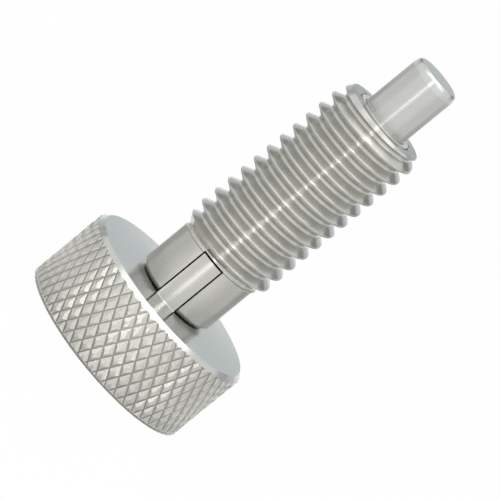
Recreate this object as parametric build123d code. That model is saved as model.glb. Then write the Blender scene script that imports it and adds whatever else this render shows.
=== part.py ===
"""Indexing plunger with a threaded body and a round pull knob.

A spring pushes a round pin out of the nose of a threaded body. Pulling the knob draws the pin back.
Two keys on the knob ride in a slot sawn across the body's plain collar. Pulled clear of the slot and
turned a quarter, they rest on the end of the collar and hold the pin in.

The plunger stands on its knob. The origin is the centre of the knob's outer face, +Z runs along the
axis to the pin's tip, and the keys lie along Y. Sizes are in millimetres.
"""

import math
import os

from build123d import *

# ---------------------------------------------------------------- driving dimensions

# Pull knob, with two keys in one piece with it
knob_diameter = 19.0
knob_height = 7.85
knob_inner_chamfer = 0.5
knob_outer_chamfer = 0.25
key_width = 2.2
key_length = 5.55
key_root_fillet = 0.1
shank_seat_depth = 5.8

# Threaded body: M10 coarse, measured over the crests
thread_diameter = 9.81
body_length = 24.43
collar_diameter = 8.36
collar_length = 5.33
collar_chamfer = 0.42
runout_angle = 37.0
lead_in_depth = 0.67
lead_in_angle = 27.0
bore_diameter = 6.3
bore_edge_break = 0.08
web_thickness = 1.05

# Nose bush, pressed into the front of the bore
bush_length = 2.2
bush_edge_break = 0.08

# Plunger pin: nose, shoulder and shank
nose_diameter = 4.95
nose_projection = 6.15
tip_taper_length = 0.5
tip_taper_depth = 0.14
tip_round = 0.2
shoulder_length = 2.0
shank_diameter = 3.0
shank_end_chamfer = 0.3

# Compression spring with closed, ground ends
wire_diameter = 0.65
spring_turns = 7.0
closed_turns = 1.0
closed_turn_rise = 0.68
wire_sides = 10  # the wire is drawn with flats, which keeps the coil light

# Clearances
knob_gap = 0.12  # collar end to knob face
key_side_gap = 0.15  # each side of a key in the slot
key_end_gap = 0.15  # key tip to the end of the slot
nose_clearance = 0.05  # all the clearances below are radial
shoulder_clearance = 0.1
shank_clearance = 0.1
spring_clearance = 0.25

# ---------------------------------------------------------------- derived sizes

knob_radius = knob_diameter / 2
thread_radius = thread_diameter / 2
collar_radius = collar_diameter / 2
bore_radius = bore_diameter / 2
nose_radius = nose_diameter / 2
shank_radius = shank_diameter / 2
shoulder_radius = bore_radius - shoulder_clearance
bush_bore_radius = nose_radius + nose_clearance
shank_hole_radius = shank_radius + shank_clearance

body_start = knob_height + knob_gap
collar_end = body_start + collar_length
runout_length = (thread_radius - collar_radius) / math.tan(math.radians(runout_angle))
body_end = body_start + body_length
lead_in_length = lead_in_depth / math.tan(math.radians(lead_in_angle))

key_tip = knob_height + key_length
slot_end = key_tip + key_end_gap
slot_width = key_width + 2 * key_side_gap
spring_seat = slot_end + web_thickness
bush_start = body_end - bush_length
shoulder_start = bush_start - shoulder_length
spring_length = shoulder_start - spring_seat
tip = body_end + nose_projection
shank_end = knob_height - shank_seat_depth


# ---------------------------------------------------------------- shared shapes


def turned(profile):
    """Turn a closed outline of (radius, height) points about the Z axis."""
    outline = Polyline(*profile, close=True)
    face = Plane.XZ * make_face(outline)
    return revolve(face, Axis.Z)


def bar_across(width, low, high):
    """Give a bar along Y through the axis, longer than the collar is wide."""
    length = 2 * collar_diameter
    height = high - low
    lowest = (Align.CENTER, Align.CENTER, Align.MIN)
    return Pos(0, 0, low) * Box(width, length, height, align=lowest)


def rod(radius, low, high):
    """Give a plain round rod on the axis between two heights."""
    lowest = (Align.CENTER, Align.CENTER, Align.MIN)
    return Pos(0, 0, low) * Cylinder(radius, high - low, align=lowest)


# ---------------------------------------------------------------- sub-parts


def threaded_body():
    """Turn the body with its collar and thread diameter, bore it from the nose and saw the key slot."""
    outside = [
        (0, body_start),
        (collar_radius - collar_chamfer, body_start),
        (collar_radius, body_start + collar_chamfer),
        (collar_radius, collar_end),
        (thread_radius, collar_end + runout_length),
        (thread_radius, body_end - lead_in_length),
        (thread_radius - lead_in_depth, body_end),
        (0, body_end),
    ]
    bore = [
        (0, spring_seat),
        (bore_radius, spring_seat),
        (bore_radius, body_end - bore_edge_break),
        (bore_radius + bore_edge_break, body_end),
        (0, body_end),
    ]
    slot = bar_across(slot_width, body_start, slot_end)
    shank_hole = rod(shank_hole_radius, body_start, spring_seat)
    return turned(outside) - turned(bore) - shank_hole - slot


def nose_bush():
    """Turn the bush that closes the front of the bore and guides the pin's nose."""
    ring = [
        (bush_bore_radius, bush_start),
        (bore_radius, bush_start),
        (bore_radius, body_end - bush_edge_break),
        (bore_radius - bush_edge_break, body_end),
        (bush_bore_radius + bush_edge_break, body_end),
        (bush_bore_radius, body_end - bush_edge_break),
    ]
    return turned(ring)


def plunger_pin():
    """Turn the pin: a tapered and rounded nose, the shoulder that the spring pushes, and the shank."""
    outline = [
        (0, shank_end),
        (shank_radius - shank_end_chamfer, shank_end),
        (shank_radius, shank_end + shank_end_chamfer),
        (shank_radius, shoulder_start),
        (shoulder_radius, shoulder_start),
        (shoulder_radius, bush_start),
        (nose_radius, bush_start),
        (nose_radius, tip - tip_taper_length),
        (nose_radius - tip_taper_depth, tip),
        (0, tip),
    ]
    pin = turned(outline)
    tip_edge = pin.edges().filter_by(GeomType.CIRCLE).sort_by(Axis.Z)[-1]
    return fillet(tip_edge, tip_round)


def spring_rise(turn):
    """Give the rise per turn at a point of the coil: small in the closed end turns, even between them."""
    open_turns = spring_turns - 2 * closed_turns
    closed = turn < closed_turns or turn > spring_turns - closed_turns
    if closed:
        return closed_turn_rise
    return (spring_length - 2 * closed_turns * closed_turn_rise) / open_turns


def compression_spring():
    """Wind the spring between the web and the shoulder, its end turns closed and ground flat."""
    coil_radius = bore_radius - spring_clearance - wire_diameter / 2
    steps_a_turn = 12
    points = []
    height = 0.0
    for step in range(round(spring_turns * steps_a_turn) + 1):
        angle = 2 * math.pi * step / steps_a_turn
        points.append((coil_radius * math.cos(angle), coil_radius * math.sin(angle), height))
        height += spring_rise((step + 0.5) / steps_a_turn) / steps_a_turn
    centre_line = Spline(*points)
    start = Plane(origin=centre_line @ 0, x_dir=(1, 0, 0), z_dir=centre_line % 0)
    section = start * RegularPolygon(wire_diameter / 2, wire_sides)
    coil = sweep(section, path=centre_line, is_frenet=True)
    ground_flat = coil & rod(bore_radius, 0, spring_length)
    return Pos(0, 0, spring_seat) * ground_flat


def knurled_knob():
    """Turn the knob, leave the two keys standing on its inner face and bore both for the shank."""
    outline = [
        (0, 0),
        (knob_radius - knob_outer_chamfer, 0),
        (knob_radius, knob_outer_chamfer),
        (knob_radius, knob_height - knob_inner_chamfer),
        (knob_radius - knob_inner_chamfer, knob_height),
        (0, knob_height),
    ]
    keys = bar_across(key_width, knob_height, key_tip) & rod(collar_radius, knob_height, key_tip)
    knob = turned(outline) + keys
    on_face = knob.edges().filter_by_position(Axis.Z, knob_height, knob_height)
    key_roots = on_face.sort_by(SortBy.LENGTH)[:4]
    knob = fillet(key_roots, key_root_fillet)
    return knob - rod(shank_radius, shank_end, key_tip)


# ---------------------------------------------------------------- files

sub_parts = {
    "threaded_body": threaded_body(),
    "nose_bush": nose_bush(),
    "plunger_pin": plunger_pin(),
    "compression_spring": compression_spring(),
    "knurled_knob": knurled_knob(),
}

os.makedirs("parts", exist_ok=True)
for name, shape in sub_parts.items():
    export_step(shape, f"parts/{name}.step")
    print(name, round(shape.volume, 1), "mm3")
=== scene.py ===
"""Indexing plunger: the finished look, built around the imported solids.

The plunger stands on its knob with its axis along +Z, and its two keys lie along Y. Sizes in the
classes are millimetres, and the meshes are metres.
"""

import logging
import math
from collections.abc import Callable, Sequence
from dataclasses import dataclass, field
from enum import Enum

import bpy
from bpy.types import ID, Material, MeshPolygon, Node, NodeSocket, NodeTree, Object
from mathutils import Matrix, Vector


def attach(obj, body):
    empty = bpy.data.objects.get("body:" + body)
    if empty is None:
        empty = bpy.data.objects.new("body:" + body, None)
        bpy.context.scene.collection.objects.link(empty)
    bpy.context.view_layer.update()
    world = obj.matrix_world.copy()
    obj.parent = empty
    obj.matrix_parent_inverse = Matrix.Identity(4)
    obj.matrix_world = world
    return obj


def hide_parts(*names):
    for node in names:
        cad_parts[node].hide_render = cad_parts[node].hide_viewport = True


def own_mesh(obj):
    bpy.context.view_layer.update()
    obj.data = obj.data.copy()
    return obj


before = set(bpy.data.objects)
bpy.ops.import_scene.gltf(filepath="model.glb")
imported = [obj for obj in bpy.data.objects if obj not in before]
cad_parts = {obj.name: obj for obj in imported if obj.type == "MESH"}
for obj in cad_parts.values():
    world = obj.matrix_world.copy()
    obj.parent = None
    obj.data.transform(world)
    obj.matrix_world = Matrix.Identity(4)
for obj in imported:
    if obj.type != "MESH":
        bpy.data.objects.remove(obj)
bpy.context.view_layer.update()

log = logging.getLogger("indexing_plunger")

MM = 0.001
TAU = 2 * math.pi
QUARTER_TURN = 0.25
MERGE = 1e-7  # metres: points nearer than this are one point
SMOOTH_BELOW = 28.0  # degrees: edges sharper than this stay crisp
FLAT = 0.98  # a face with more of its normal along Z than this is square to the axis
STEEP = 0.5  # and one with less than this is a side
NEAR = 0.05  # mm: a face this near an end counts as part of it
MIX_FACTOR, MIX_A, MIX_B, MIX_RESULT = 0, 6, 7, 2  # a Mix node's sockets for colours
CLOUD_LOW, CLOUD_HIGH = 0.3, 0.7  # nearly all of a noise texture's values lie between these

Corner = tuple[float, float, float]
Point = tuple[float, float]
Choice = Callable[[MeshPolygon], bool]  # says whether a face is chosen


class Body(Enum):
    """The two bodies that the pieces ride on."""

    SLEEVE = "sleeve"
    PLUNGER = "plunger"


class Cut(Enum):
    """How one solid is worked with another."""

    REMOVE = "DIFFERENCE"
    JOIN = "UNION"
    KEEP_COMMON = "INTERSECT"


# ---------- colours and nodes


def linear(hex_colour: str) -> tuple[float, float, float, float]:
    """Turn an sRGB hex colour to linear RGBA.

    Args:
        hex_colour: Six hex digits, with or without a leading #.

    Returns:
        The linear colour with an alpha of 1.
    """
    digits = hex_colour.lstrip("#")
    channels = [int(digits[i : i + 2], 16) / 255 for i in (0, 2, 4)]
    red, green, blue = (c / 12.92 if c <= 0.04045 else ((c + 0.055) / 1.055) ** 2.4 for c in channels)
    return (red, green, blue, 1.0)


def add_node(
    tree: NodeTree,
    kind: str,
    settings: dict[str, object] | None = None,
    values: dict[str | int, object] | None = None,
    links: dict[str | int, NodeSocket] | None = None,
) -> Node:
    """Add one node with its settings, its input values and the links into it.

    Args:
        tree: The node tree that gets the node.
        kind: Blender's class name of the node.
        settings: The node's own properties.
        values: Input sockets by name or number, and what each is set to.
        links: Input sockets by name or number, and the output that feeds each.

    Returns:
        The new node.
    """
    node = tree.nodes.new(kind)
    for name, value in (settings or {}).items():
        setattr(node, name, value)
    for socket, value in (values or {}).items():
        node.inputs[socket].default_value = value
    for socket, source in (links or {}).items():
        tree.links.new(source, node.inputs[socket])
    return node


def maths(
    tree: NodeTree,
    operation: str,
    *terms: NodeSocket | float | Sequence[float],
    kind: str = "ShaderNodeMath",
    output: str = "Value",
) -> NodeSocket:
    """Add one node that calculates.

    Args:
        tree: The node tree that gets the node.
        operation: Blender's name of what it does.
        terms: What it works on, each a value or another node's output.
        kind: Blender's class name of the node, for numbers or for vectors.
        output: Which of its outputs is wanted.

    Returns:
        That output.
    """
    links = {place: term for place, term in enumerate(terms) if isinstance(term, NodeSocket)}
    values = {place: term for place, term in enumerate(terms) if place not in links}
    return add_node(tree, kind, {"operation": operation}, values, links).outputs[output]


def empty_material(name: str) -> Material:
    """Make a material with an empty node tree.

    Args:
        name: The material's name.

    Returns:
        The material.
    """
    material = bpy.data.materials.new(name)
    material.use_nodes = True
    material.node_tree.nodes.clear()
    return material


def surface(tree: NodeTree, shader: NodeSocket) -> None:
    """Make a shader the surface of its material."""
    add_node(tree, "ShaderNodeOutputMaterial", links={"Surface": shader})


# ---------- finishes


@dataclass(frozen=True)
class StainlessFinish:
    """Plain stainless steel, as one tool leaves it.

    The steel is a warm, light grey with no coating. A tool that goes round the axis leaves fine
    rings, so a highlight spreads along the axis on a round face and outwards on a flat one.
    """

    name: str
    colour: str
    dull_colour: str
    roughness: float
    ring_depth: float  # mm
    ring_spread: float = 0.0  # how far rings draw a highlight out, from 0 to 1
    ring_spacing: float = 0.2  # mm between tool marks
    cloud_size: float = 3.0  # mm across the faint cloudy patches
    roughness_swing: float = 0.05

    def build(self) -> Material:
        """Make the material.

        Returns:
            A metal whose rings and clouds read Object coordinates.
        """
        material = empty_material(self.name)
        tree = material.node_tree
        place = add_node(tree, "ShaderNodeTexCoord").outputs["Object"]
        height = self._ring_height(tree, place)
        clouds = add_node(
            tree,
            "ShaderNodeTexNoise",
            {"noise_dimensions": "3D"},
            {"Scale": 1 / (self.cloud_size * MM), "Detail": 4.0, "Roughness": 0.6},
            {"Vector": place},
        ).outputs["Fac"]
        colours = {MIX_A: linear(self.colour), MIX_B: linear(self.dull_colour)}
        tone = add_node(tree, "ShaderNodeMix", {"data_type": "RGBA"}, colours, {MIX_FACTOR: clouds})
        ends = {
            "From Min": CLOUD_LOW,
            "From Max": CLOUD_HIGH,
            "To Min": self.roughness - self.roughness_swing,
            "To Max": self.roughness + self.roughness_swing,
        }
        rough = add_node(tree, "ShaderNodeMapRange", {}, ends, {"Value": clouds})
        depth = {"Strength": 1.0, "Distance": self.ring_depth * MM}
        bump = add_node(tree, "ShaderNodeBump", {}, depth, {"Height": height})
        around = add_node(tree, "ShaderNodeTangent", {"direction_type": "RADIAL", "axis": "Z"})
        steel = add_node(
            tree,
            "ShaderNodeBsdfPrincipled",
            {},
            {"Metallic": 1.0, "Anisotropic": self.ring_spread, "Anisotropic Rotation": QUARTER_TURN},
            {
                "Base Color": tone.outputs[MIX_RESULT],
                "Roughness": rough.outputs["Result"],
                "Normal": bump.outputs["Normal"],
                "Tangent": around.outputs["Tangent"],
            },
        )
        surface(tree, steel.outputs["BSDF"])
        return material

    def _ring_height(self, tree: NodeTree, place: NodeSocket) -> NodeSocket:
        """Give the height of rings round Z, which change with the radius and the height alone.

        Args:
            tree: The material's node tree.
            place: The Object coordinates.

        Returns:
            The output with the rings' height, from 0 to 1.
        """
        level = maths(tree, "MULTIPLY", place, (1, 1, 0), kind="ShaderNodeVectorMath", output="Vector")
        radius = maths(tree, "LENGTH", level, kind="ShaderNodeVectorMath")
        height = add_node(tree, "ShaderNodeSeparateXYZ", links={"Vector": place}).outputs["Z"]
        section = add_node(tree, "ShaderNodeCombineXYZ", links={"X": radius, "Y": height})
        rings = add_node(
            tree,
            "ShaderNodeTexNoise",
            {"noise_dimensions": "2D"},
            {"Scale": 1 / (self.ring_spacing * MM), "Detail": 2.0, "Roughness": 0.5},
            {"Vector": section.outputs["Vector"]},
        )
        return rings.outputs["Fac"]


# Round faces turned on a lathe and then polished: even, with a highlight drawn out along the axis.
TURNED = StainlessFinish(
    name="turned_stainless_steel",
    colour="#c9c8c2",
    dull_colour="#bfbeb7",
    roughness=0.27,
    ring_spread=0.75,
    ring_spacing=0.09,
    ring_depth=0.0006,
)
# Ground with a wheel: a little brighter and smoother than the turned faces.
GROUND = StainlessFinish(
    name="ground_stainless_steel",
    colour="#cbcbc7",
    dull_colour="#c3c3be",
    roughness=0.26,
    ring_spread=0.75,
    ring_spacing=0.07,
    ring_depth=0.0004,
)
# Cut by a single-point thread tool: its marks are deeper and further apart.
THREAD_CUT = StainlessFinish(
    name="thread_cut_stainless_steel",
    colour="#cac9c3",
    dull_colour="#bebdb6",
    roughness=0.25,
    ring_spread=0.85,
    ring_spacing=0.12,
    ring_depth=0.0016,
)
# Pressed into diamonds by knurling wheels: burnished flanks, slightly uneven, with small cloudy patches;
# coloured lighter than the other steel, painted light on the teeth.
KNURLED = StainlessFinish(
    name="knurled_painted_light_steel",
    colour="#e2e1db",
    dull_colour="#b2b1a9",
    roughness=0.3,
    ring_depth=0.006,
    cloud_size=0.2,
)
# The bottoms of the knurl's grooves, torn by the wheels' edges: rougher, and painted darker as the shade
# that falls deep in the grooves.
KNURL_GROOVE_SHADE = StainlessFinish(
    name="knurl_groove_painted_shade_steel",
    colour="#9a9991",
    dull_colour="#8c8b84",
    roughness=0.36,
    ring_depth=0.004,
    cloud_size=0.8,
)
# Faced across the end and smooth: fine rings round the axis give the face its even, cool sheen.
FACED = StainlessFinish(
    name="faced_stainless_steel",
    colour="#cacac6",
    dull_colour="#c2c2be",
    roughness=0.2,
    ring_spread=0.6,
    ring_spacing=0.08,
    ring_depth=0.0003,
)
# The body's end, faced with a coarser feed: duller, and coloured darker than the knob's face as painted
# shade.
FACED_END = StainlessFinish(
    name="dull_faced_painted_shade_steel",
    colour="#a5a6a3",
    dull_colour="#9b9c99",
    roughness=0.34,
    ring_spread=0.8,
    ring_spacing=0.15,
    ring_depth=0.0015,
)
# The bush's end, faced with a coarse feed and coloured lighter than the other steel, a painted sheen: its
# rings draw a highlight out along the radius.
FACED_BUSH = StainlessFinish(
    name="ring_faced_painted_sheen_steel",
    colour="#d9d9d5",
    dull_colour="#d1d1cd",
    roughness=0.34,
    ring_spread=0.85,
    ring_spacing=0.12,
    ring_depth=0.0012,
)
# The pin's tip: smooth, and coloured darker than its side as painted shade.
FACED_TIP = StainlessFinish(
    name="tip_faced_painted_shade_steel",
    colour="#b4b5b2",
    dull_colour="#acadaa",
    roughness=0.15,
    ring_spacing=0.1,
    ring_depth=0.0003,
)
# Hard-drawn spring wire: smooth and slightly darker.
DRAWN_WIRE = StainlessFinish(
    name="drawn_spring_wire",
    colour="#b9b8b3",
    dull_colour="#a9a8a2",
    roughness=0.25,
    ring_depth=0.0004,
)


# ---------- outlines


def rounded(corners: Sequence[Corner], arc_step: float = 15.0) -> list[Point]:
    """Round the corners of an outline.

    Args:
        corners: Radius, height and rounding radius of each corner, in mm. The ends stay sharp.
        arc_step: The most degrees that one chord of an arc turns.

    Returns:
        The outline's points in mm.
    """
    points: list[Point] = [corners[0][:2]]
    for before, here, after in zip(corners, corners[1:], corners[2:]):
        corner = Vector(here[:2])
        if here[2] <= 0:
            points.append(tuple(corner))
            continue
        back = (Vector(before[:2]) - corner).normalized()
        on = (Vector(after[:2]) - corner).normalized()
        half = back.angle(on) / 2
        centre = corner + (back + on).normalized() * here[2] / math.sin(half)
        start = corner + back * here[2] / math.tan(half) - centre
        end = corner + on * here[2] / math.tan(half) - centre
        turn = start.angle_signed(end)
        chords = max(2, math.ceil(math.degrees(abs(turn)) / arc_step))
        for i in range(chords + 1):
            spoke = start.copy()
            spoke.rotate(Matrix.Rotation(-turn * i / chords, 2))
            points.append(tuple(centre + spoke))
    points.append(corners[-1][:2])
    return points


# ---------- modelling steps


def deselect() -> None:
    """Leave object mode and deselect everything, the CAD nodes included."""
    if bpy.context.object and bpy.context.object.mode != "OBJECT":
        bpy.ops.object.mode_set(mode="OBJECT")
    bpy.ops.object.select_all(action="DESELECT")


def pick(piece: Object) -> None:
    """Make this the one selected and active object.

    Args:
        piece: The object.
    """
    deselect()
    piece.select_set(True)
    bpy.context.view_layer.objects.active = piece


def edit(piece: Object) -> None:
    """Enter edit mode with all of a mesh selected.

    Args:
        piece: The object to edit.
    """
    pick(piece)
    bpy.ops.object.mode_set(mode="EDIT")
    bpy.ops.mesh.select_mode(type="VERT")
    bpy.ops.mesh.select_all(action="SELECT")


def tidy_mesh(piece: Object) -> None:
    """Merge doubled points and turn all faces outwards.

    Args:
        piece: The object to tidy.
    """
    edit(piece)
    bpy.ops.mesh.remove_doubles(threshold=MERGE)
    bpy.ops.mesh.select_all(action="SELECT")
    bpy.ops.mesh.normals_make_consistent(inside=False)
    bpy.ops.object.mode_set(mode="OBJECT")


def choose_faces(piece: Object, chosen: Choice) -> None:
    """Enter edit mode with some faces selected.

    Args:
        piece: The object to edit.
        chosen: Says whether a face is selected.
    """
    edit(piece)
    bpy.ops.mesh.select_mode(type="FACE")
    bpy.ops.mesh.select_all(action="DESELECT")
    bpy.ops.object.mode_set(mode="OBJECT")
    for face in piece.data.polygons:
        face.select = chosen(face)
    bpy.ops.object.mode_set(mode="EDIT")


def apply_modifier(piece: Object, kind: str, settings: dict[str, object]) -> None:
    """Add a modifier with these settings and apply it.

    Args:
        piece: The object to work on.
        kind: Blender's name of the modifier type.
        settings: The modifier's properties.
    """
    pick(piece)
    modifier = piece.modifiers.new(kind.title(), kind)
    for name, value in settings.items():
        setattr(modifier, name, value)
    bpy.ops.object.modifier_apply(modifier=modifier.name)


def drawn_outline(name: str, points: Sequence[Point]) -> Object:
    """Draw an outline in the XZ plane, point by point.

    Args:
        name: The object's name.
        points: Radius and height of each point, in mm.

    Returns:
        An object of edges alone, left in edit mode with all of it selected.
    """
    deselect()
    radius, height = points[0]
    bpy.ops.mesh.primitive_plane_add(size=MM, location=(0, 0, 0))
    outline = bpy.context.active_object
    outline.name = name
    edit(outline)
    bpy.ops.mesh.merge(type="CENTER")
    bpy.ops.transform.translate(value=(radius * MM, 0, height * MM))
    for before, after in zip(points, points[1:]):
        step = ((after[0] - before[0]) * MM, 0, (after[1] - before[1]) * MM)
        bpy.ops.mesh.extrude_vertices_move(TRANSFORM_OT_translate={"value": step})
    bpy.ops.mesh.select_all(action="SELECT")
    bpy.ops.mesh.remove_doubles(threshold=MERGE)
    return outline


def turned(name: str, points: Sequence[Point], sides: int) -> Object:
    """Spin an outline round Z into a solid.

    Args:
        name: The object's name.
        points: The outline, closed, or with both ends on the axis, in mm.
        sides: How many steps the full turn takes.

    Returns:
        The solid.
    """
    piece = drawn_outline(name, points)
    bpy.ops.mesh.spin(steps=sides, angle=TAU, center=(0, 0, 0), axis=(0, 0, 1))
    tidy_mesh(piece)
    return piece


def settle(piece: Object) -> None:
    """Apply an object's place, turn and scale to its mesh."""
    pick(piece)
    bpy.ops.object.transform_apply(location=True, rotation=True, scale=True)


def just_added(name: str) -> Object:
    """Name and settle the object that was added last.

    Args:
        name: The object's name.

    Returns:
        The object.
    """
    added = bpy.context.active_object
    added.name = name
    settle(added)
    return added


def put_in_scene(name: str, data: ID | None) -> Object:
    """Put a new object in the scene.

    Args:
        name: The object's name.
        data: The curve, lamp or camera that it shows, or None for an empty.

    Returns:
        The object.
    """
    placed = bpy.data.objects.new(name, data)
    bpy.context.scene.collection.objects.link(placed)
    return placed


def rod(name: str, radius: float, low: float, high: float, sides: int) -> Object:
    """Add a plain rod on the axis between two heights, as a tool to cut with.

    Args:
        name: The object's name.
        radius: In mm.
        low: Lower end, in mm.
        high: Upper end, in mm.
        sides: How many sides it has.

    Returns:
        The rod.
    """
    deselect()
    middle = (0, 0, (low + high) / 2 * MM)
    bpy.ops.mesh.primitive_cylinder_add(
        vertices=sides, radius=radius * MM, depth=(high - low) * MM, location=middle
    )
    return just_added(name)


def bar(name: str, width: float, length: float, low: float, high: float) -> Object:
    """Add a bar along Y through the axis, as a tool to cut with.

    Args:
        name: The object's name.
        width: Along X, in mm.
        length: Along Y, in mm.
        low: Lower face, in mm.
        high: Upper face, in mm.

    Returns:
        The bar.
    """
    deselect()
    middle = (0, 0, (low + high) / 2 * MM)
    sizes = (width * MM, length * MM, (high - low) * MM)
    bpy.ops.mesh.primitive_cube_add(size=1, location=middle, scale=sizes)
    return just_added(name)


def work(piece: Object, tool: Object, cut: Cut) -> None:
    """Cut, join or intersect a piece with a tool, and put the tool away.

    Args:
        piece: The solid that is worked.
        tool: The solid that works it, which is removed.
        cut: What is done.
    """
    settings = {"operation": cut.value, "object": tool, "solver": "EXACT", "material_mode": "TRANSFER"}
    apply_modifier(piece, "BOOLEAN", settings)
    bpy.data.objects.remove(tool)
    tidy_mesh(piece)


def trim(piece: Object, low: float, high: float) -> None:
    """Cut a piece off square at two heights and close both ends.

    Args:
        piece: The piece, which runs past both heights.
        low: Of the lower end, in mm.
        high: Of the upper end, in mm.
    """
    for height, up in ((low, -1.0), (high, 1.0)):
        edit(piece)
        bpy.ops.mesh.bisect(
            plane_co=(0, 0, height * MM),
            plane_no=(0, 0, up),
            use_fill=True,
            clear_outer=True,
            threshold=MERGE,
        )
    tidy_mesh(piece)


def coat(piece: Object, material: Material) -> None:
    """Give the whole piece one material."""
    piece.data.materials.clear()
    piece.data.materials.append(material)


def recoat(piece: Object, material: Material, chosen: Choice) -> None:
    """Give some faces another material.

    Args:
        piece: The piece, with its first material on it.
        material: The material for the chosen faces.
        chosen: Says whether a face is one of them.
    """
    piece.data.materials.append(material)
    slot = len(piece.data.materials) - 1
    for face in piece.data.polygons:
        if chosen(face):
            face.material_index = slot


def smooth(piece: Object, degrees: float = SMOOTH_BELOW) -> None:
    """Shade smooth, with edges sharper than this left crisp."""
    pick(piece)
    bpy.ops.object.shade_smooth_by_angle(angle=math.radians(degrees))


def crisp(piece: Object, degrees: float, chosen: Choice) -> None:
    """Leave more edges crisp on some faces of a smooth piece.

    Args:
        piece: The piece, shaded smooth already.
        degrees: Edges sharper than this become crisp.
        chosen: Says whether a face is one of them.
    """
    choose_faces(piece, chosen)
    bpy.ops.mesh.hide(unselected=True)
    bpy.ops.mesh.select_mode(type="EDGE")
    bpy.ops.mesh.select_all(action="DESELECT")
    bpy.ops.mesh.edges_select_sharp(sharpness=math.radians(degrees))
    bpy.ops.mesh.mark_sharp()
    bpy.ops.mesh.reveal()
    bpy.ops.object.mode_set(mode="OBJECT")


def radius_at(point: Vector) -> float:
    """Distance of a point from the axis, in mm."""
    return math.hypot(point.x, point.y) / MM


def seat(piece: Object, body: Body, node: str) -> None:
    """Put a finished piece on its body in place of its solid, and report it.

    Args:
        piece: The finished piece.
        body: The body it rides on.
        node: The solid it stands for.
    """
    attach(piece, body.value)
    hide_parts(node)
    triangles = sum(len(face.vertices) - 2 for face in piece.data.polygons)
    log.info("%s: %d triangles, rides on %s, stands for %s", piece.name, triangles, body.value, node)


# ---------- threaded body


@dataclass
class ThreadForm:
    """The coarse 10 mm thread: one groove, right-handed, with a rounded root and rounded crests."""

    pitch: float = 1.5
    crest_radius: float = 4.905
    root_radius: float = 4.03
    root_flat: float = 0.33
    flank_angle: float = 30.0
    crest_land: float = 0.08  # flat left between the rounded edges of a crest
    crest_slope: float = 20.0  # how steeply the rounded edge meets that flat
    crest_round: float = 0.1
    root_round: float = 0.23
    start_angle: float = 90.0  # degrees round from +X, on the far side of the collar
    start_height: float = 12.875  # middle of the groove where it starts
    turn_gap: float = 0.01  # left on each side between one turn of the tool and the next
    overcut: float = 0.08  # how far the tool stands outside the thread
    turns: int = 14
    steps_a_turn: int = 128

    def form(self) -> list[Point]:
        """Outline of the tool that cuts the groove.

        Returns:
            Radius in mm and height from the groove's middle in mm, closed.
        """
        slope = math.tan(math.radians(self.crest_slope))
        flank = 1 / math.tan(math.radians(self.flank_angle))
        half_root = self.root_flat / 2
        land = self.pitch / 2 - self.crest_land / 2
        side = self.pitch / 2 - self.turn_gap
        cut_depth = self.crest_radius - land * slope - self.root_radius
        edge = (cut_depth + half_root * flank) / (flank - slope)
        edge_radius = self.root_radius + (edge - half_root) * flank
        rim = self.crest_radius + (side - land) * slope
        upper = [
            (self.root_radius, half_root, self.root_round),
            (edge_radius, edge, self.crest_round),
            (rim, side, 0.0),
            (rim + self.overcut, side, 0.0),
        ]
        lower = [(radius, -height, rounding) for radius, height, rounding in reversed(upper)]
        return rounded([*lower, *upper, lower[0]])

    def tool(self) -> Object:
        """Sweep the form up the helix.

        Returns:
            A closed solid that cuts the whole groove.
        """
        sweep = drawn_outline("thread_tool", self.form())
        bpy.ops.object.mode_set(mode="OBJECT")
        helix = {
            "axis": "Z",
            "angle": TAU,
            "screw_offset": self.pitch * MM,
            "iterations": self.turns,
            "steps": self.steps_a_turn,
            "render_steps": self.steps_a_turn,
            "use_merge_vertices": False,
        }
        apply_modifier(sweep, "SCREW", helix)
        edit(sweep)
        bpy.ops.mesh.fill_holes(sides=0)
        bpy.ops.object.mode_set(mode="OBJECT")
        sweep.rotation_euler = (0, 0, math.radians(self.start_angle))
        sweep.location = (0, 0, self.start_height * MM)
        settle(sweep)
        tidy_mesh(sweep)
        return sweep


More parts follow.
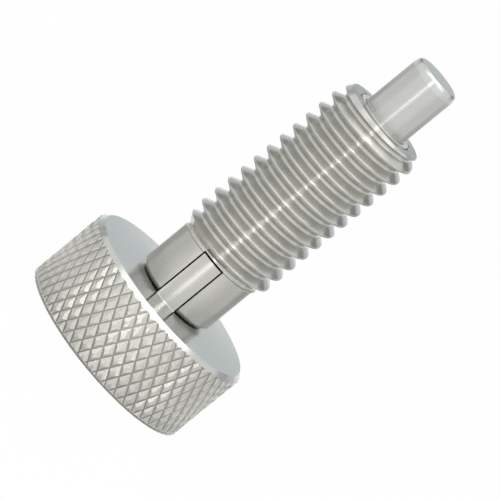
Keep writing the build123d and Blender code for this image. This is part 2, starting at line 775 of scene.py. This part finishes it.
@dataclass
class ThreadedSleeve:
    """The threaded body: collar with its key slot, threaded length, and the bore for pin and spring."""

    start: float = 7.97
    end: float = 32.4
    collar_radius: float = 4.18
    collar_chamfer: float = 0.42
    collar_end: float = 13.5
    runout_end: float = 14.462
    thread_radius: float = 4.905
    lead_in_start: float = 31.085
    rim_radius: float = 4.235
    bore_radius: float = 3.15
    bore_edge_break: float = 0.08
    bore_floor: float = 14.6
    shank_hole_radius: float = 1.6
    slot_width: float = 2.5
    slot_end: float = 13.55
    overcut: float = 1.0  # how far the slot's tool stands below the collar
    edge_round: float = 0.06
    sides: int = 128
    thread: ThreadForm = field(default_factory=ThreadForm)

    def blank(self) -> Object:
        """Turn the body.

        Returns:
            The body without its thread and its slot.
        """
        outline = [
            (self.shank_hole_radius, self.start, 0.0),
            (self.collar_radius - self.collar_chamfer, self.start, self.edge_round),
            (self.collar_radius, self.start + self.collar_chamfer, self.edge_round),
            (self.collar_radius, self.collar_end, 0.0),
            (self.thread_radius, self.runout_end, 0.0),
            (self.thread_radius, self.lead_in_start, 0.0),
            (self.rim_radius, self.end, self.edge_round),
            (self.bore_radius + self.bore_edge_break, self.end, 0.0),
            (self.bore_radius, self.end - self.bore_edge_break, 0.0),
            (self.bore_radius, self.bore_floor, 0.0),
            (self.shank_hole_radius, self.bore_floor, 0.0),
            (self.shank_hole_radius, self.start, 0.0),
        ]
        return turned("threaded_sleeve", rounded(outline), self.sides)

    def _on_end(self, face: MeshPolygon) -> bool:
        """Say whether a face is part of the faced nose end."""
        return face.normal.z > FLAT and face.center.z > (self.end - NEAR) * MM

    def build(self) -> Object:
        """Cut the thread and the key slot, and finish the body.

        Returns:
            The piece that stands for the threaded body.
        """
        piece = self.blank()
        coat(piece, TURNED.build())
        groove = self.thread.tool()
        coat(groove, THREAD_CUT.build())
        work(piece, groove, Cut.REMOVE)
        below = self.start - self.overcut
        slot = bar("slot_tool", self.slot_width, 4 * self.collar_radius, below, self.slot_end)
        coat(slot, piece.data.materials[0])
        work(piece, slot, Cut.REMOVE)
        # The faced end gets the darker steel: painted shade.
        recoat(piece, FACED_END.build(), self._on_end)
        smooth(piece)
        seat(piece, Body.SLEEVE, "threaded_body")
        return piece


# ---------- nose bush


@dataclass
class NoseBush:
    """The bush pressed into the front of the bore, which guides the pin."""

    bore_radius: float = 2.525
    outer_radius: float = 3.15
    start: float = 30.2
    end: float = 32.4
    edge_break: float = 0.08
    seam_width: float = 0.12
    seam_depth: float = 0.35
    edge_round: float = 0.02
    sides: int = 112

    def build(self) -> Object:
        """Turn the bush and finish it.

        Returns:
            The piece that stands for the nose bush.
        """
        outline = [
            (self.bore_radius, self.start, 0.0),
            (self.outer_radius, self.start, 0.0),
            (self.outer_radius, self.end - self.seam_depth, 0.0),
            (self.outer_radius - self.seam_width, self.end - self.seam_depth, 0.0),
            (self.outer_radius - self.seam_width, self.end, self.edge_round),
            (self.bore_radius + self.edge_break, self.end, self.edge_round),
            (self.bore_radius, self.end - self.edge_break, self.edge_round),
            (self.bore_radius, self.start, 0.0),
        ]
        piece = turned("guide_bush", rounded(outline, arc_step=30), self.sides)
        # The bush gets the lighter steel: a painted sheen.
        coat(piece, FACED_BUSH.build())
        smooth(piece)
        seat(piece, Body.SLEEVE, "nose_bush")
        return piece


# ---------- plunger pin


@dataclass
class IndexPin:
    """The pin: tapered and rounded nose, shoulder for the spring, and the shank held in the knob."""

    shank_end: float = 2.05
    shank_radius: float = 1.5
    shank_chamfer: float = 0.3
    shoulder_start: float = 28.2
    shoulder_end: float = 30.2
    shoulder_radius: float = 3.05
    nose_radius: float = 2.475
    taper_start: float = 37.8
    taper_depth: float = 0.16
    tip: float = 38.55
    tip_round: float = 0.4
    edge_round: float = 0.1
    sides: int = 128

    def _on_tip(self, face: MeshPolygon) -> bool:
        """Say whether a face is part of the flat end of the nose."""
        return face.normal.z > FLAT and face.center.z > (self.tip - NEAR) * MM

    def build(self) -> Object:
        """Turn the pin and finish it.

        Returns:
            The piece that stands for the plunger pin.
        """
        outline = [
            (0.0, self.shank_end, 0.0),
            (self.shank_radius - self.shank_chamfer, self.shank_end, 0.0),
            (self.shank_radius, self.shank_end + self.shank_chamfer, 0.0),
            (self.shank_radius, self.shoulder_start, 0.0),
            (self.shoulder_radius, self.shoulder_start, self.edge_round),
            (self.shoulder_radius, self.shoulder_end, self.edge_round),
            (self.nose_radius, self.shoulder_end, 0.0),
            (self.nose_radius, self.taper_start, self.edge_round),
            (self.nose_radius - self.taper_depth, self.tip, self.tip_round),
            (0.0, self.tip, 0.0),
        ]
        piece = turned("index_pin", rounded(outline, arc_step=10), self.sides)
        coat(piece, GROUND.build())
        # The flat tip gets the darker steel: painted shade.
        recoat(piece, FACED_TIP.build(), self._on_tip)
        smooth(piece)
        seat(piece, Body.PLUNGER, "plunger_pin")
        return piece


# ---------- return spring


@dataclass
class ReturnSpring:
    """The compression spring round the shank, its end turns closed and ground flat."""

    seat_height: float = 14.6
    length: float = 13.6
    coil_radius: float = 2.575
    wire_radius: float = 0.325
    turns: float = 7.0
    closed_turns: float = 1.0
    closed_rise: float = 0.68
    travel: float = 6.15
    smooth_below: float = 40.0  # degrees
    steps_a_turn: int = 16

    def _rise(self, turn: float) -> float:
        """Give the rise per turn at a point of the coil, which is small in the closed end turns.

        Args:
            turn: How many turns up the coil the point is.

        Returns:
            The rise in mm per turn.
        """
        if turn < self.closed_turns or turn > self.turns - self.closed_turns:
            return self.closed_rise
        closed = 2 * self.closed_turns
        return (self.length - closed * self.closed_rise) / (self.turns - closed)

    def _centre_line(self) -> list[Vector]:
        """Go along the middle of the wire.

        Returns:
            The points in metres.
        """
        points = []
        height = self.seat_height
        for step in range(round(self.turns * self.steps_a_turn) + 1):
            angle = TAU * step / self.steps_a_turn
            across, along = math.cos(angle) * self.coil_radius, math.sin(angle) * self.coil_radius
            points.append(Vector((across, along, height)) * MM)
            height += self._rise((step + 0.5) / self.steps_a_turn) / self.steps_a_turn
        return points

    def _wound(self) -> Object:
        """Wind the wire as a curve and make it a mesh.

        Returns:
            The wire, with its ends not ground yet.
        """
        curve = bpy.data.curves.new("coil_line", "CURVE")
        curve.dimensions = "3D"
        curve.bevel_depth = self.wire_radius * MM
        curve.bevel_resolution = 3
        curve.resolution_u = 3
        curve.use_fill_caps = True
        points = self._centre_line()
        spline = curve.splines.new("NURBS")
        spline.points.add(len(points) - 1)
        for point, place in zip(spline.points, points):
            point.co = (*place, 1.0)
        spline.order_u = 4
        spline.use_endpoint_u = True
        pick(put_in_scene("return_spring", curve))
        bpy.ops.object.convert(target="MESH")
        return bpy.context.active_object

    def build(self) -> Object:
        """Wind the spring and grind its ends flat.

        Returns:
            The piece that stands for the compression spring.
        """
        piece = self._wound()
        tidy_mesh(piece)
        trim(piece, self.seat_height, self.seat_height + self.length)
        coat(piece, DRAWN_WIRE.build())
        smooth(piece, self.smooth_below)
        seat(piece, Body.SLEEVE, "compression_spring")
        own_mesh(piece)
        return piece


# ---------- pull knob


@dataclass
class DiamondKnurl:
    """The diamond knurl that two wheels press: one tooth, copied up a slanted column and then round.

    Each wheel has its own slant and its own number of grooves, so the rows of teeth climb round the knob.
    """

    radius: float = 9.5
    slant_right: float = 0.678  # mm round the rim per mm down, grooves that run down to the right
    slant_left: float = 0.473  # mm round the rim per mm down, grooves that run down to the left
    grooves_right: int = 49
    grooves_left: int = 54
    first_across: float = 0.655  # middle of one tooth, mm round the rim from the front
    first_height: float = 3.625
    tiers: tuple[Point, ...] = ((0.06, 0.004), (0.24, 0.1), (0.13, 0.012))  # mm in and mm out
    lean: float = 0.9  # how far a tooth's top is pushed down, per mm that its tiers go in
    crown: float = 0.003  # how far a tooth's point stands out of its last tier
    weld: float = 0.004  # points of neighbouring teeth nearer than this are one point
    low: float = -0.2
    high: float = 8.1

    @property
    def depth(self) -> float:
        """Height of a tooth above the grooves, in mm."""
        return sum(outward for _, outward in self.tiers) + self.crown

    def in_groove(self, face: MeshPolygon) -> bool:
        """Say whether a knurled face is part of the bottom of a groove."""
        return radius_at(face.center) < self.radius - self.depth + self.tiers[0][1]

    @property
    def up_step(self) -> Vector:
        """From a tooth to the next one up a column: mm round the rim, and mm up."""
        rise = TAU * self.radius / self.grooves_right / (self.slant_right + self.slant_left)
        return Vector((self.slant_left * rise, rise))

    @property
    def down_step(self) -> Vector:
        """From a tooth to its neighbour down to the right: mm round the rim, and mm up."""
        drop = TAU * self.radius / self.grooves_left / (self.slant_right + self.slant_left)
        return Vector((self.slant_right * drop, -drop))

    def _tooth(self) -> Object:
        """Model one tooth at the front of the knob, bent to the rim.

        Returns:
            The tooth, open at the back.
        """
        base = self.radius - self.depth
        right = (self.up_step + self.down_step) / 2
        top = (self.up_step - self.down_step) / 2
        deselect()
        bpy.ops.mesh.primitive_circle_add(
            vertices=4, radius=MM, fill_type="NGON", location=(0, 0, 0), rotation=(math.pi / 2, 0, 0)
        )
        tooth = just_added("knurl_tooth")
        for vertex, corner in zip(tooth.data.vertices, (top, -right, -top, right)):
            vertex.co = (corner.x * base / self.radius * MM, 0, corner.y * MM)
        edit(tooth)
        for inward, outward in self.tiers:
            bpy.ops.mesh.inset(thickness=inward * MM, depth=outward * MM)
            bpy.ops.transform.translate(value=(0, 0, -self.lean * inward * MM))
        bpy.ops.mesh.poke(offset=self.crown * MM)
        bpy.ops.object.mode_set(mode="OBJECT")
        bend = {"deform_method": "BEND", "deform_axis": "Z", "angle": 2 * right.x / self.radius}
        apply_modifier(tooth, "SIMPLE_DEFORM", bend)
        tooth.location = (0, -base * MM, 0)
        settle(tooth)
        return tooth

    def _copies(self, piece: Object, count: int, move: Vector) -> None:
        """Copy a piece round the axis and up.

        Args:
            piece: The piece, which gets the copies.
            count: How many there are with the first.
            move: From one to the next: mm round the rim, and mm up.
        """
        step = put_in_scene("step", None)
        step.rotation_euler = (0, 0, move.x / self.radius)
        step.location = (0, 0, move.y * MM)
        bpy.context.view_layer.update()
        row = {"use_relative_offset": False, "use_object_offset": True, "offset_object": step}
        apply_modifier(piece, "ARRAY", {"count": count, **row})
        bpy.data.objects.remove(step)

    def drum(self) -> Object:
        """Knurl a closed drum, longer than the knob.

        Returns:
            The drum.
        """
        sideways = self.up_step + self.down_step
        climb = sideways.y * self.grooves_left + self.up_step.y
        below = math.ceil((self.first_height - self.low + climb) / self.up_step.y)
        above = math.ceil((self.high - self.first_height + self.up_step.y) / self.up_step.y)
        drum = self._tooth()
        drum.name = "knurl_drum"
        drum.rotation_euler = (0, 0, (self.first_across - below * self.up_step.x) / self.radius)
        drum.location = (0, 0, (self.first_height - below * self.up_step.y) * MM)
        settle(drum)
        self._copies(drum, below + above + 1, self.up_step)
        self._copies(drum, self.grooves_left, sideways)
        edit(drum)
        bpy.ops.mesh.remove_doubles(threshold=self.weld * MM)
        trim(drum, self.low, self.high)
        return drum


@dataclass
class PullKnob:
    """The knurled knob with its two keys, bored for the pin's shank."""

    radius: float = 9.5
    height: float = 7.85
    top_chamfer: float = 0.5
    bottom_chamfer: float = 0.25
    clear: float = 0.03  # the blank stands this far outside the knurl
    key_width: float = 2.2
    key_radius: float = 4.18
    key_length: float = 5.55
    key_sunk: float = 0.8  # how far the keys reach down into the knob
    key_steps: int = 12  # across each key's rounded end
    root_fillet: float = 0.1
    fillet_sunk: float = 0.002  # how far the fillet's edge lies under the face
    fillet_steps: int = 4
    shank_radius: float = 1.5
    shank_end: float = 2.05
    hole_sides: int = 48
    overcut: float = 1.0  # how far the hole's tool stands above the keys
    edge_round: float = 0.03
    crisp_above: float = 10.0  # degrees: on the knurl, edges sharper than this stay crisp
    sides: int = 160
    knurl: DiamondKnurl = field(default_factory=DiamondKnurl)

    def _blank(self) -> Object:
        """Turn the knob's blank.

        Returns:
            A plain round blank, chamfered at both rims.
        """
        outside = self.radius + self.clear
        outline = [
            (0.0, 0.0, 0.0),
            (self.radius - self.bottom_chamfer, 0.0, self.edge_round),
            (outside, self.bottom_chamfer + self.clear, 0.0),
            (outside, self.height - self.top_chamfer - self.clear, 0.0),
            (self.radius - self.top_chamfer, self.height, self.edge_round),
            (0.0, self.height, 0.0),
        ]
        return turned("knob_blank", rounded(outline), self.sides)

    def _keys(self) -> Object:
        """Mill the bar that carries both keys.

        Returns:
            The bar, with a filleted foot that reaches down into the knob.
        """
        foot = self.height - self.fillet_sunk
        reach = self.key_radius + self.root_fillet
        half = math.asin((self.key_width / 2 + self.root_fillet) / reach)
        keys = drawn_outline("keys", [(reach, foot - self.key_sunk)])
        bpy.ops.mesh.spin(steps=self.key_steps, angle=2 * half, center=(0, 0, 0), axis=(0, 0, 1))
        bpy.ops.object.mode_set(mode="OBJECT")
        keys.rotation_euler = (0, 0, -math.pi / 2 + half)
        settle(keys)
        edit(keys)
        bpy.ops.mesh.duplicate()
        bpy.ops.transform.rotate(value=math.pi, orient_axis="Z", center_override=(0, 0, 0))
        bpy.ops.mesh.select_all(action="SELECT")
        bpy.ops.mesh.bridge_edge_loops()
        bpy.ops.mesh.select_all(action="SELECT")
        bpy.ops.mesh.extrude_region_move(TRANSFORM_OT_translate={"value": (0, 0, self.key_sunk * MM)})
        tidy_mesh(keys)
        choose_faces(keys, lambda face: face.normal.z > FLAT)
        for step in range(self.fillet_steps):
            low, high = (math.pi / 2 * s / self.fillet_steps for s in (step, step + 1))
            inward = self.root_fillet * (math.sin(high) - math.sin(low))
            upward = self.root_fillet * (math.cos(low) - math.cos(high))
            bpy.ops.mesh.inset(thickness=inward * MM, depth=upward * MM)
        rise = self.height + self.key_length - foot - self.root_fillet
        bpy.ops.mesh.extrude_region_move(TRANSFORM_OT_translate={"value": (0, 0, rise * MM)})
        bpy.ops.mesh.select_all(action="SELECT")
        bpy.ops.mesh.fill_holes(sides=0)
        tidy_mesh(keys)
        return keys

    def _on_face(self, face: MeshPolygon) -> bool:
        """Say whether a face is part of one of the two flat ends or of the chamfer at the top.

        Args:
            face: A face of the knob.

        Returns:
            True where the face was faced and not knurled.
        """
        rim = self.radius - self.top_chamfer - self.edge_round
        on_end = abs(face.normal.z) > FLAT and radius_at(face.center) < self.radius
        on_chamfer = STEEP < face.normal.z <= FLAT and radius_at(face.center) > rim
        return on_end or (on_chamfer and not self._knurled(face))

    def _knurled(self, face: MeshPolygon) -> bool:
        """Say whether a face has the first finish, the knurled one."""
        return face.material_index == 0

    def _in_groove(self, face: MeshPolygon) -> bool:
        """Say whether a knurled face is low in a groove, where the shade is painted."""
        return self._knurled(face) and self.knurl.in_groove(face)

    def build(self) -> Object:
        """Knurl, chamfer, key and bore the knob.

        Returns:
            The piece that stands for the knob.
        """
        turned_steel = TURNED.build()
        piece = self.knurl.drum()
        # The knurl gets the lighter steel: painted light on the teeth.
        coat(piece, KNURLED.build())
        blank = self._blank()
        coat(blank, turned_steel)
        work(piece, blank, Cut.KEEP_COMMON)
        keys = self._keys()
        coat(keys, turned_steel)
        work(piece, keys, Cut.JOIN)
        above = self.height + self.key_length + self.overcut
        hole = rod("shank_tool", self.shank_radius, self.shank_end, above, self.hole_sides)
        coat(hole, turned_steel)
        work(piece, hole, Cut.REMOVE)
        piece.name = "pull_knob"
        recoat(piece, FACED.build(), self._on_face)
        smooth(piece)
        crisp(piece, self.crisp_above, self._knurled)
        # The groove bottoms get a darker steel: painted shade deep in the grooves.
        recoat(piece, KNURL_GROOVE_SHADE.build(), self._in_groove)
        seat(piece, Body.PLUNGER, "knurled_knob")
        return piece


# ---------- studio


@dataclass
class Lamp:
    """One soft lamp, aimed at a point on the plunger's axis."""

    name: str
    azimuth: float  # degrees round from the camera's side, to the right
    elevation: float
    distance: float  # mm
    width: float  # mm
    height: float  # mm
    strength: float  # radiance of its face, where 1 is white
    aim_height: float = 19.3
    spread: float = 180.0  # degrees that its light fans out, narrowed by a grid on its face


@dataclass
class Card:
    """A card that only reflections see."""

    name: str
    azimuth: float
    elevation: float
    distance: float
    width: float
    height: float
    tone: str


@dataclass
class Screen:
    """A curved grey screen that only reflections see, the same on the left and on the right.

    It is a straight line from near to far, swept round the axis.
    """

    name: str
    near: Point  # distance from the axis and height, mm
    far: Point
    tones: tuple[Point, ...]  # degrees round from the camera's side, and the strength there
    colour: str = "#ffffff"
    brightest: float = 2.0  # strength that the white end of its ramp stands for
    steps: int = 48


@dataclass
class Studio:
    """Pale floor, white surroundings, soft lamps, grey screens at the sides, a painted foot shadow and the
    camera.
    """

    aim_height: float = 19.3
    camera_distance: float = 500.0
    camera_elevation: float = 12.19
    axis_angle: float = 39.362  # degrees above horizontal at which the axis shows
    frame_width: float = 43.79  # mm across the camera's view at the aim point
    aim_shift: Point = (-0.0432, -0.0706)  # shares of the view's width
    clip_near: float = 10.0
    clip_far: float = 20000.0
    sensor: float = 36.0
    floor_size: float = 4000.0
    floor_gap: float = 0.01
    floor_shadow: float = 0.06  # share of the floor's tone that comes from the light on it
    footprint: float = 9.5  # mm from the axis: under the knob the floor is all shade
    ambient: float = 0.7
    lamps: tuple[Lamp, ...] = (
        Lamp("lamp_strip", 0.0, 20.0, 120.0, 14.0, 24.0, 7.0),
        Lamp("lamp_strip_high", 0.0, 80.0, 300.0, 14.0, 420.0, 5.0),
        Lamp("lamp_strip_behind", 180.0, 38.0, 300.0, 40.0, 100.0, 5.0),
        Lamp("lamp_low", 0.0, -39.5, 29.5, 5.0, 13.0, 2.6, spread=70.0),
        Lamp("lamp_left", -36.0, 4.5, 47.5, 28.0, 10.0, 2.0, aim_height=4.0, spread=30.0),
        Lamp("lamp_right", 44.0, 2.0, 47.5, 12.0, 8.0, 2.0, aim_height=3.0, spread=26.0),
        Lamp("lamp_shoulder_left", -47.0, 40.0, 300.0, 160.0, 90.0, 0.3),
        Lamp("lamp_shoulder_right", 45.0, 40.0, 300.0, 220.0, 90.0, 0.8),
        Lamp("lamp_overhead", 0.0, 82.0, 330.0, 440.0, 240.0, 1.0),
    )
    cards: tuple[Card, ...] = (Card("card_horizon", 180.0, 13.0, 160.0, 260.0, 50.0, "#d5dddf"),)
    screens: tuple[Screen, ...] = (
        Screen("screen_strip", (12.0, 0.3), (250.0, 0.3), ((0.0, 1.8), (2.5, 1.8))),
        # A grey ring round the knob's foot that only reflections see: the knob's shadow on the floor,
        # painted.
        Screen("screen_painted_foot_shadow", (9.6, 0.2), (13.5, 0.2), ((0.0, 0.65), (180.0, 0.65))),
        Screen(
            "screen_floor_near",
            (30.0, 0.2),
            (75.0, 0.2),
            (
                (35.0, 1.0),
                (60.0, 0.85),
                (84.0, 0.66),
                (112.0, 0.7),
                (122.0, 0.46),
                (150.0, 0.46),
                (162.0, 1.0),
            ),
        ),
        Screen(
            "screen_floor_far",
            (75.0, 0.2),
            (250.0, 0.2),
            ((45.0, 1.0), (60.0, 0.95), (106.0, 0.95), (120.0, 0.4), (152.0, 0.4), (162.0, 1.0)),
        ),
        Screen(
            "screen_wall",
            (250.0, 0.2),
            (250.0, 60.0),
            ((50.0, 1.0), (68.0, 0.72), (98.0, 0.72), (112.0, 0.95), (132.0, 1.05), (158.0, 1.05)),
        ),
        Screen(
            "screen_light",
            (250.0, 62.0),
            (250.0, 160.0),
            ((0.0, 1.28), (108.0, 1.28), (122.0, 0.6), (137.0, 0.6)),
            "#eef4fa",
        ),
        Screen(
            "screen_behind",
            (240.0, 60.0),
            (240.0, 190.0),
            ((138.0, 0.6), (146.0, 0.3), (168.0, 0.3), (174.0, 1.0)),
        ),
    )

    def _place(self, azimuth: float, elevation: float, distance: float, aim_height: float) -> Matrix:
        """Stand something at a bearing and turn it to face the plunger.

        Args:
            azimuth: Degrees round from the camera's side, to the right.
            elevation: Degrees above level.
            distance: In mm.
            aim_height: Of the point on the axis that it faces, in mm.

        Returns:
            The world matrix, whose own -Z points at the plunger.
        """
        around, up = math.radians(azimuth), math.radians(elevation)
        back = Vector((math.sin(around) * math.cos(up), -math.cos(around) * math.cos(up), math.sin(up)))
        aim = Vector((0, 0, aim_height * MM))
        turn = (-back).to_track_quat("-Z", "Y").to_matrix().to_4x4()
        return Matrix.Translation(aim + back * distance * MM) @ turn

    def camera(self) -> Object:
        """Set up the camera, rolled so that the axis leans to the right.

        Returns:
            The camera.
        """
        data = bpy.data.cameras.new("camera")
        data.sensor_width = self.sensor
        data.lens = self.sensor * self.camera_distance / self.frame_width
        data.shift_x, data.shift_y = self.aim_shift
        data.clip_start, data.clip_end = self.clip_near * MM, self.clip_far * MM
        camera = put_in_scene("camera", data)
        roll = Matrix.Rotation(math.radians(90.0 - self.axis_angle), 4, "Z")
        stand = self._place(0.0, self.camera_elevation, self.camera_distance, self.aim_height)
        camera.matrix_world = stand @ roll
        bpy.context.scene.camera = camera
        return camera

    def light(self) -> None:
        """Hang the lamps."""
        for lamp in self.lamps:
            data = bpy.data.lights.new(lamp.name, "AREA")
            data.shape = "RECTANGLE"
            data.size, data.size_y = lamp.width * MM, lamp.height * MM
            data.energy = lamp.strength * math.pi * data.size * data.size_y
            if lamp.spread < 180:
                # A narrow spread keeps the power and brightens the middle, so the power comes down.
                half = math.radians(lamp.spread) / 2
                data.energy *= 1 - half / math.tan(half)
            data.spread = math.radians(lamp.spread)
            light = put_in_scene(lamp.name, data)
            light.matrix_world = self._place(lamp.azimuth, lamp.elevation, lamp.distance, lamp.aim_height)
            light.visible_camera = False

    def _hide_from_all_but_reflections(self, sheet: Object) -> None:
        """Keep a sheet out of the camera's view, the diffuse light and the shadows.

        Args:
            sheet: A card or a screen.
        """
        sheet.visible_camera = False
        sheet.visible_diffuse = False
        sheet.visible_shadow = False

    def place_cards(self) -> None:
        """Stand the flat cards round the plunger."""
        for card in self.cards:
            deselect()
            bpy.ops.mesh.primitive_plane_add(size=1)
            sheet = bpy.context.active_object
            sheet.name = card.name
            sheet.scale = (card.width * MM, card.height * MM, 1)
            settle(sheet)
            sheet.matrix_world = self._place(card.azimuth, card.elevation, card.distance, self.aim_height)
            paper = empty_material(f"{card.name}_paper")
            tree = paper.node_tree
            glow = add_node(tree, "ShaderNodeEmission", {}, {"Color": linear(card.tone)})
            surface(tree, glow.outputs["Emission"])
            coat(sheet, paper)
            self._hide_from_all_but_reflections(sheet)

    def place_screens(self) -> None:
        """Sweep the curved screens, on the right and on the left."""
        for screen in self.screens:
            first, last = (math.radians(screen.tones[i][0]) for i in (0, -1))
            paper = self._screen_paper(screen)
            for side, start in (("right", last), ("left", -first)):
                sheet = drawn_outline(f"{screen.name}_{side}", [screen.near, screen.far])
                bpy.ops.mesh.spin(steps=screen.steps, angle=last - first, center=(0, 0, 0), axis=(0, 0, 1))
                bpy.ops.object.mode_set(mode="OBJECT")
                sheet.rotation_euler = (0, 0, start - math.pi / 2)
                settle(sheet)
                coat(sheet, paper)
                self._hide_from_all_but_reflections(sheet)

    def _screen_paper(self, screen: Screen) -> Material:
        """Make a screen's grey paper, whose tone changes with the bearing.

        Args:
            screen: The screen it is for.

        Returns:
            A material that glows with the screen's tones.
        """
        paper = empty_material(f"{screen.name}_paper")
        tree = paper.node_tree
        place = add_node(tree, "ShaderNodeTexCoord").outputs["Object"]
        vectors = "ShaderNodeVectorMath"
        level = maths(tree, "MULTIPLY", place, (1, 1, 0), kind=vectors, output="Vector")
        unit = maths(tree, "NORMALIZE", level, kind=vectors, output="Vector")
        facing = maths(tree, "DOT_PRODUCT", unit, (0, -1, 0), kind=vectors)
        share = maths(tree, "DIVIDE", maths(tree, "ARCCOSINE", facing), math.pi)
        ramp = add_node(tree, "ShaderNodeValToRGB", links={"Fac": share})
        stops = ramp.color_ramp.elements
        stops.remove(stops[1])
        for number, (degrees, tone) in enumerate(screen.tones):
            stop = stops[0] if number == 0 else stops.new(degrees / 180)
            stop.position = degrees / 180
            grey = tone / screen.brightest
            stop.color = (grey, grey, grey, 1.0)
        strength = maths(tree, "MULTIPLY", ramp.outputs["Color"], screen.brightest)
        colour = {"Color": linear(screen.colour)}
        glow = add_node(tree, "ShaderNodeEmission", {}, colour, {"Strength": strength})
        surface(tree, glow.outputs["Emission"])
        return paper

    def _seen_plainly(self, tree: NodeTree) -> NodeSocket:
        """Tell the rays that see the background as it is from those that light the plunger.

        Args:
            tree: The node tree.

        Returns:
            The output that is 1 for camera, glossy and transmission rays and 0 for the others.
        """
        rays = add_node(tree, "ShaderNodeLightPath").outputs
        mirrored = maths(tree, "MAXIMUM", rays["Is Glossy Ray"], rays["Is Transmission Ray"])
        return maths(tree, "MAXIMUM", rays["Is Camera Ray"], mirrored)

    def surround(self) -> None:
        """Make the surroundings white to the eye and in reflections, and dimmer as a light."""
        world = bpy.data.worlds.new("white_room")
        bpy.context.scene.world = world
        world.use_nodes = True
        tree = world.node_tree
        tree.nodes.clear()
        ends = {"To Min": self.ambient, "To Max": 1.0}
        seen = self._seen_plainly(tree)
        strength = add_node(tree, "ShaderNodeMapRange", {}, ends, {"Value": seen}).outputs["Result"]
        white = {"Color": linear("#ffffff")}
        back = add_node(tree, "ShaderNodeBackground", {}, white, {"Strength": strength})
        add_node(tree, "ShaderNodeOutputWorld", links={"Surface": back.outputs["Background"]})

    def floor(self) -> Object:
        """Lay the white floor, which keeps a faint shadow and is all shade under the knob.

        Returns:
            The floor.
        """
        deselect()
        bpy.ops.mesh.primitive_plane_add(size=self.floor_size * MM, location=(0, 0, -self.floor_gap * MM))
        floor = bpy.context.active_object
        floor.name = "floor"
        paper = empty_material("white_studio_paper")
        tree = paper.node_tree
        glow = add_node(tree, "ShaderNodeEmission", {}, {"Color": linear("#ffffff"), "Strength": 1.0})
        matt = add_node(tree, "ShaderNodeBsdfDiffuse", {}, {"Color": linear("#f4f4f4")})
        place = add_node(tree, "ShaderNodeTexCoord").outputs["Object"]
        distance = maths(tree, "LENGTH", place, kind="ShaderNodeVectorMath")
        clear = maths(tree, "GREATER_THAN", distance, self.footprint * MM)
        seen = maths(tree, "MULTIPLY", self._seen_plainly(tree), clear)
        share = maths(tree, "MULTIPLY", seen, 1 - self.floor_shadow)
        both = {0: share, 1: matt.outputs["BSDF"], 2: glow.outputs["Emission"]}
        mixed = add_node(tree, "ShaderNodeMixShader", links=both)
        surface(tree, mixed.outputs["Shader"])
        coat(floor, paper)
        return floor

    def build(self) -> None:
        """Set up the whole studio."""
        self.camera()
        self.surround()
        self.floor()
        self.place_cards()
        self.place_screens()
        self.light()
        bpy.context.scene.view_settings.view_transform = "Standard"
        counts = len(self.lamps), len(self.cards), len(self.screens)
        log.info("studio: %d lamps, %d cards and %d screens", *counts)


# ---------- the job


def main() -> None:
    """Build the plunger from the inside out, then the studio round it."""
    logging.basicConfig(level=logging.INFO, format="%(name)s: %(message)s", force=True)
    ReturnSpring().build()
    IndexPin().build()
    NoseBush().build()
    ThreadedSleeve().build()
    PullKnob().build()
    Studio().build()
    deselect()


if __name__ == "__main__":
    main()
